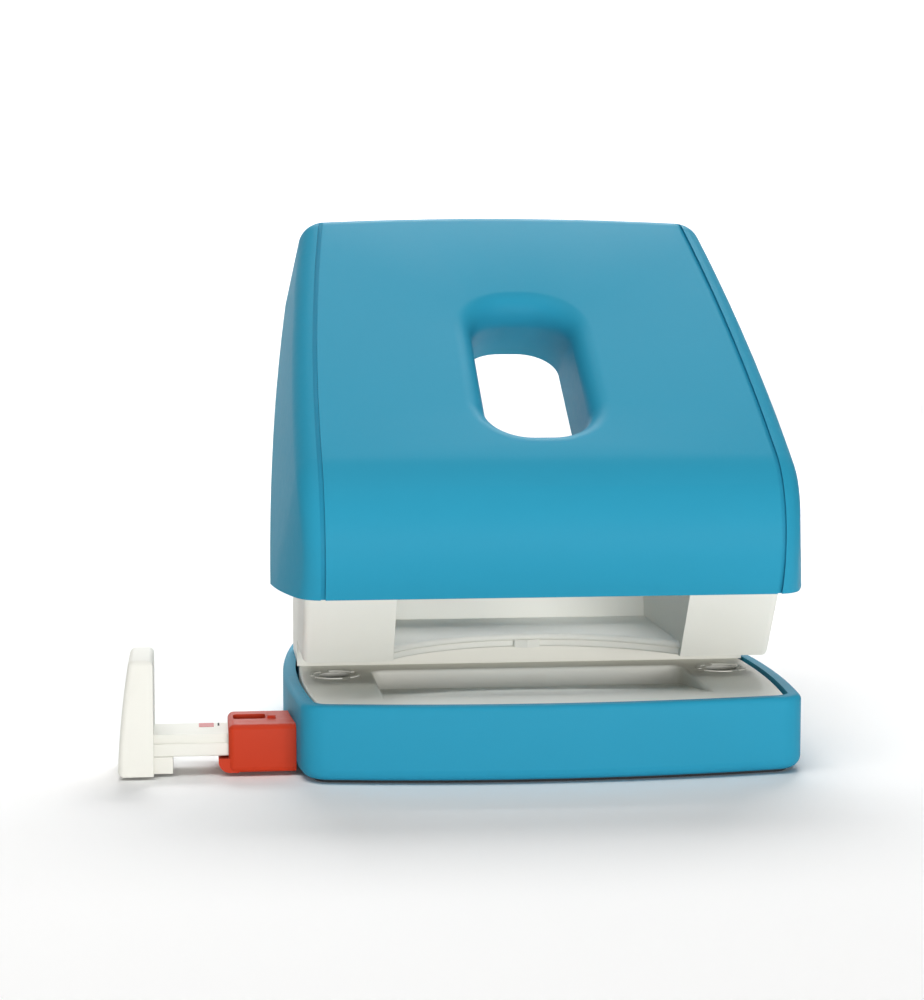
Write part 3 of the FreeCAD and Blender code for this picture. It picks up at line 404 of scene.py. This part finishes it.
class PUNCH_OT_springs(bpy.types.Operator):
    """Wind the two pin springs, with closed ends"""
    bl_idname = "punch.springs"
    bl_label = "Pin springs"

    def execute(self, context):
        s = context.scene.punch_sizes
        for side in ("left", "right"):
            node = side + "_spring"
            low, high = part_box(node)
            middle = (low + high) / 2
            wire = s.wire
            radius = (high.x - low.x) / 2 - wire / 2
            clip_low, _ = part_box(side + "_pin_clip")
            bottom, top = low.z + wire * 0.5, clip_low.z - wire * 0.5
            bm = bmesh.new()
            upright = Matrix.Translation((middle.x + radius, middle.y, bottom)) @ Matrix.Rotation(
                math.pi / 2, 4, "X")
            ring = bmesh.ops.create_circle(bm, radius=wire / 2, segments=WIRE_SIDES,
                                             matrix=upright)["verts"]
            line = list(ring) + list(bm.edges)
            # a closed turn, the open turns and another closed turn
            for turns, rise in ((1, wire), (s.turns, top - bottom - 2 * wire), (1, wire)):
                steps = round(STEPS_PER_TURN * turns)
                wound = bmesh.ops.spin(bm, geom=line, cent=middle, axis=(0, 0, 1),
                                       angle=2 * math.pi * turns, dvec=(0, 0, rise / steps),
                                       steps=steps, use_merge=False)
                line = wound["geom_last"]
            bmesh.ops.holes_fill(bm, edges=[e for e in bm.edges if e.is_boundary], sides=0)
            bmesh.ops.recalc_face_normals(bm, faces=bm.faces)
            piece = finish_piece(bm, side + "_coil", "base", material("Spring steel"),
                                 (node,))
            joint = next(j for j in frame["joints"] if j["name"] == side + "_pin_slide")
            room = clip_low.z - low.z
            (room - joint["range_m"][1]) / room
            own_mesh(piece)
        return {"FINISHED"}


class PUNCH_OT_guide_marks(bpy.types.Operator):
    """Set the small dark marks beside the guide bar's format label"""
    bl_idname = "punch.guide_marks"
    bl_label = "Guide marks"

    def execute(self, context):
        s = context.scene.punch_sizes
        low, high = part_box("format_label")
        _, bar_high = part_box("guide_bar")
        bm = bmesh.new()
        for i in range(s.ticks):
            x = high.x + MARK_GAP * (1 + 1.6 * i)
            long = (high.y - low.y) * (0.75 if i == 0 else 0.4)
            made = bmesh.ops.create_cube(bm, size=1)["verts"]
            bmesh.ops.scale(bm, verts=made, vec=(s.tick, long, 2 * MARK_PROUD))
            bmesh.ops.translate(bm, verts=made, vec=(x, high.y - long / 2, bar_high.z))
            edges = {e for v in made for e in v.link_edges}
            bmesh.ops.bevel(bm, geom=list(edges), offset=MARK_ROUND, offset_type="OFFSET",
                            segments=2, profile=0.5, material=-1, affect="EDGES")
        finish_piece(bm, "guide_marks", "guide", material("Soft tray plastic"))
        return {"FINISHED"}


def area_light(name, place, target, size, power, tint, spread):
    """A soft rectangular light aimed at its target."""
    light = bpy.data.lights.new(name, "AREA")
    light.shape = "RECTANGLE"
    light.size, light.size_y = size
    light.energy = power
    light.color = tint
    light.spread = math.radians(spread)
    lamp = bpy.data.objects.new(name, light)
    bpy.context.scene.collection.objects.link(lamp)
    lamp.location = place
    lamp.rotation_euler = (Vector(target) - Vector(place)).to_track_quat("-Z", "Y").to_euler()


class PUNCH_OT_stage(bpy.types.Operator):
    """Set the pale floor, the soft lights and the camera"""
    bl_idname = "punch.stage"
    bl_label = "Stage"

    def backdrop(self, finish):
        """A floor that bends up into a wall behind the punch."""
        ground = CAD_BOX[0][2]
        bm = bmesh.new()
        row = [bm.verts.new((-BACKDROP_SIDE, y, ground)) for y in (BACKDROP_NEAR, BACKDROP_FAR)]
        bm.edges.new(row)
        curved = bmesh.ops.spin(bm, geom=[row[1]], cent=(0, BACKDROP_FAR, ground + BACKDROP_BEND),
                                axis=(1, 0, 0), angle=math.pi / 2, steps=BACKDROP_STEPS, use_merge=False)
        end = next(v for v in curved["geom_last"] if isinstance(v, bmesh.types.BMVert))
        top = bm.verts.new((-BACKDROP_SIDE, BACKDROP_FAR + BACKDROP_BEND, BACKDROP_TOP))
        bm.edges.new((end, top))
        swept = bmesh.ops.extrude_edge_only(bm, edges=list(bm.edges))["geom"]
        moved = [v for v in swept if isinstance(v, bmesh.types.BMVert)]
        bmesh.ops.translate(bm, verts=moved, vec=(2 * BACKDROP_SIDE, 0, 0))
        bmesh.ops.recalc_face_normals(bm, faces=bm.faces)
        for face in bm.faces:
            face.smooth = True
        mesh = bpy.data.meshes.new("floor")
        bm.to_mesh(mesh)
        bm.free()
        floor = bpy.data.objects.new("floor", mesh)
        bpy.context.scene.collection.objects.link(floor)
        mesh.materials.append(finish)

    def execute(self, context):
        scene = context.scene
        st = scene.punch_stage
        self.backdrop(floor_finish("Pale floor", scene.punch_colours.floor))
        for name, place, target, size, power, tint, spread in LIGHTS:
            area_light(name, place, target, size, getattr(st, power), tint, spread)
        world = bpy.data.worlds.new("room")
        world.use_nodes = True
        sky = next(n for n in world.node_tree.nodes if n.type == "BACKGROUND")
        sky.inputs["Color"].default_value = (1.0, 1.0, 1.0, 1.0)
        sky.inputs["Strength"].default_value = st.sky
        scene.world = world
        scene.view_settings.view_transform = "Standard"
        camera = bpy.data.cameras.new("camera")
        camera.sensor_fit = "VERTICAL"
        camera.sensor_height = SENSOR_HEIGHT
        camera.lens = st.lens
        camera.clip_start, camera.clip_end = CAMERA_REACH
        eye = bpy.data.objects.new("camera", camera)
        scene.collection.objects.link(eye)
        eye.location = st.eye
        eye.rotation_euler = (math.pi / 2 - st.pitch, 0, -st.yaw)
        scene.camera = eye
        return {"FINISHED"}


# ---- panel and registration ---------------------------------------------------------
class PUNCH_PT_panel(bpy.types.Panel):
    """Lists the punch's settings and pieces"""
    bl_idname = "PUNCH_PT_panel"
    bl_label = "Desk punch"
    bl_space_type = "VIEW_3D"
    bl_region_type = "UI"
    bl_category = "Punch"

    def draw(self, context):
        for group in ("punch_colours", "punch_sizes", "punch_stage"):
            settings = getattr(context.scene, group)
            column = self.layout.column(align=True)
            for key in settings.bl_rna.properties.keys():
                if key not in ("rna_type", "name"):
                    column.prop(settings, key)
        for operator in OPERATORS:
            self.layout.operator(operator.bl_idname)


OPERATORS = (PUNCH_OT_finishes, PUNCH_OT_mouldings, PUNCH_OT_springs, PUNCH_OT_guide_marks, PUNCH_OT_stage)
GROUPS = {"punch_colours": PunchColours, "punch_sizes": PunchSizes, "punch_stage": PunchStage}


def register():
    for cls in tuple(GROUPS.values()) + OPERATORS + (PUNCH_PT_panel,):
        bpy.utils.register_class(cls)
    for name, group in GROUPS.items():
        setattr(bpy.types.Scene, name, PointerProperty(type=group))


def unregister():
    for name in GROUPS:
        delattr(bpy.types.Scene, name)
    for cls in reversed(tuple(GROUPS.values()) + OPERATORS + (PUNCH_PT_panel,)):
        bpy.utils.unregister_class(cls)


def main():
    register()
    for operator in OPERATORS:
        family, action = operator.bl_idname.split(".")
        getattr(getattr(bpy.ops, family), action)()


if __name__ == "__main__":
    main()
